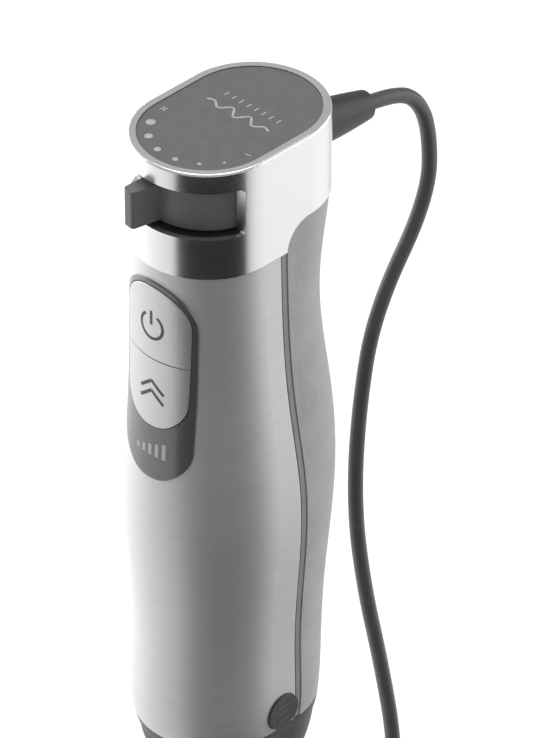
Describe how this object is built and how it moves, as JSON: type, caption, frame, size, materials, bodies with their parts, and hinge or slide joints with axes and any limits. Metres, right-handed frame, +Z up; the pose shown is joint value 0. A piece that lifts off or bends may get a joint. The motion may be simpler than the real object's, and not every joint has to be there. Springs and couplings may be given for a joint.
{
  "type": "hand blender",
  "caption": "Mains hand blender: metal-fronted motor handle with thumb speed lever and press buttons, pull-off leg with guarded blade, cord and plug.",
  "frame": {"origin": "on the drive axis, in the plane of the bell's rim that the blender stands on", "axes": "+Z up the drive axis; the buttons and the speed lever face -Y, the cord leaves towards +Y"},
  "size_m": [0.1112, 0.2204, 0.412],
  "materials": {
    "satin_metal": "satin plated casting",
    "brushed_steel": "brushed stainless sheet",
    "plate_grey": "satin dark grey moulding",
    "dial_grey": "fine grained dark grey moulding",
    "soft_grip": "fine grained mid grey elastomer",
    "strip_grey": "mid grey moulding",
    "housing_plastic": "moulded housing",
    "pod_grey": "pearl dark grey moulding",
    "button_silver": "satin silver",
    "cord_grey": "flexible mains cord sheath",
    "guard_grey": "flexible cord guard",
    "plug_grey": "moulded plug",
    "pin_nickel": "nickel plated brass",
    "tie_black": "woven strap",
    "spring_steel": "spring wire",
    "laminate": "laminated sheet steel",
    "enamel_copper": "enamelled copper wire",
    "shaft_steel": "ground steel",
    "bearing_bronze": "sintered bronze",
    "carbon": "carbon brush",
    "board": "circuit board",
    "drive_plastic": "glass filled nylon",
    "collar_grey": "dark grey moulding",
    "blade_steel": "ground blade steel"
  },
  "bodies": {
    "handle": {"top_cap": "satin_metal", "top_plate": "plate_grey", "dial_tray": "housing_plastic", "speed_sensor": "housing_plastic", "speed_board": "board", "cord_clamp": "housing_plastic", "metal_shell": "brushed_steel", "shell_liner": "housing_plastic", "back_grip": "soft_grip", "seam_strip_left": "strip_grey", "seam_strip_right": "strip_grey", "front_housing": "housing_plastic", "back_housing": "housing_plastic", "button_bezel": "pod_grey", "power_spring": "spring_steel", "turbo_spring": "spring_steel", "power_switch": "housing_plastic", "turbo_switch": "housing_plastic", "switch_board": "board", "cord_guard": "guard_grey", "power_cord": "cord_grey", "cord_coil": "cord_grey", "cord_tail": "cord_grey", "cord_tie": "tie_black", "plug_body": "plug_grey", "plug_pin_left": "pin_nickel", "plug_pin_right": "pin_nickel", "motor_stator": "laminate", "motor_windings": "enamel_copper", "motor_bracket_upper": "housing_plastic", "motor_bracket_lower": "housing_plastic", "upper_bearing": "bearing_bronze", "lower_bearing": "bearing_bronze", "carbon_brush_left": "carbon", "carbon_brush_right": "carbon", "socket_collar": "collar_grey", "release_spring_left": "spring_steel", "release_spring_right": "spring_steel"},
    "speed_dial": {"speed_dial": "dial_grey", "dial_shaft": "shaft_steel"},
    "power_button": {"power_button": "button_silver"},
    "turbo_button": {"turbo_button": "button_silver"},
    "release_left": {"release_button_left": "collar_grey"},
    "release_right": {"release_button_right": "collar_grey"},
    "rotor": {"motor_shaft": "shaft_steel", "armature": "laminate", "commutator": "enamel_copper", "cooling_fan": "drive_plastic", "drive_socket": "drive_plastic"},
    "leg": {"leg_collar": "collar_grey", "leg_tube": "brushed_steel", "bell": "brushed_steel", "upper_bush": "bearing_bronze", "lower_bush": "bearing_bronze"},
    "blade": {"blade_shaft": "shaft_steel", "drive_dog": "drive_plastic", "blade": "blade_steel", "blade_nut": "shaft_steel"}
  },
  "joints": [
    {"name": "speed_turn", "type": "hinge", "parent": "handle", "child": "speed_dial", "pos_m": [0, -0.0108, 0.395], "axis": [0, 0, 1], "range_deg": [-52, 68]},
    {"name": "power_press", "type": "slide", "parent": "handle", "child": "power_button", "axis": [0, 1, 0], "range_m": [0, 0.0012], "stiffness_N_per_m": 1500, "springref_m": -0.001, "deforming": ["power_spring"]},
    {"name": "turbo_press", "type": "slide", "parent": "handle", "child": "turbo_button", "axis": [0, 1, 0], "range_m": [0, 0.0012], "stiffness_N_per_m": 1500, "springref_m": -0.001, "deforming": ["turbo_spring"]},
    {"name": "release_left_press", "type": "slide", "parent": "handle", "child": "release_left", "axis": [1, 0, 0], "range_m": [0, 0.0015], "stiffness_N_per_m": 1500, "springref_m": -0.001, "deforming": ["release_spring_left"]},
    {"name": "release_right_press", "type": "slide", "parent": "handle", "child": "release_right", "axis": [-1, 0, 0], "range_m": [0, 0.0015], "stiffness_N_per_m": 1500, "springref_m": -0.001, "deforming": ["release_spring_right"]},
    {"name": "motor_spin", "type": "hinge", "parent": "handle", "child": "rotor", "pos_m": [0, 0, 0.25], "axis": [0, 0, 1], "continuous": true},
    {"name": "leg_pull", "type": "slide", "parent": "handle", "child": "leg", "axis": [0, 0, -1], "range_m": [0, 0.032]},
    {"name": "blade_spin", "type": "hinge", "parent": "leg", "child": "blade", "pos_m": [0, 0, 0.1], "axis": [0, 0, 1], "continuous": true}
  ],
  "couplings": [
    {"joint": "blade_spin", "follows": "motor_spin", "ratio": 1}
  ]
}
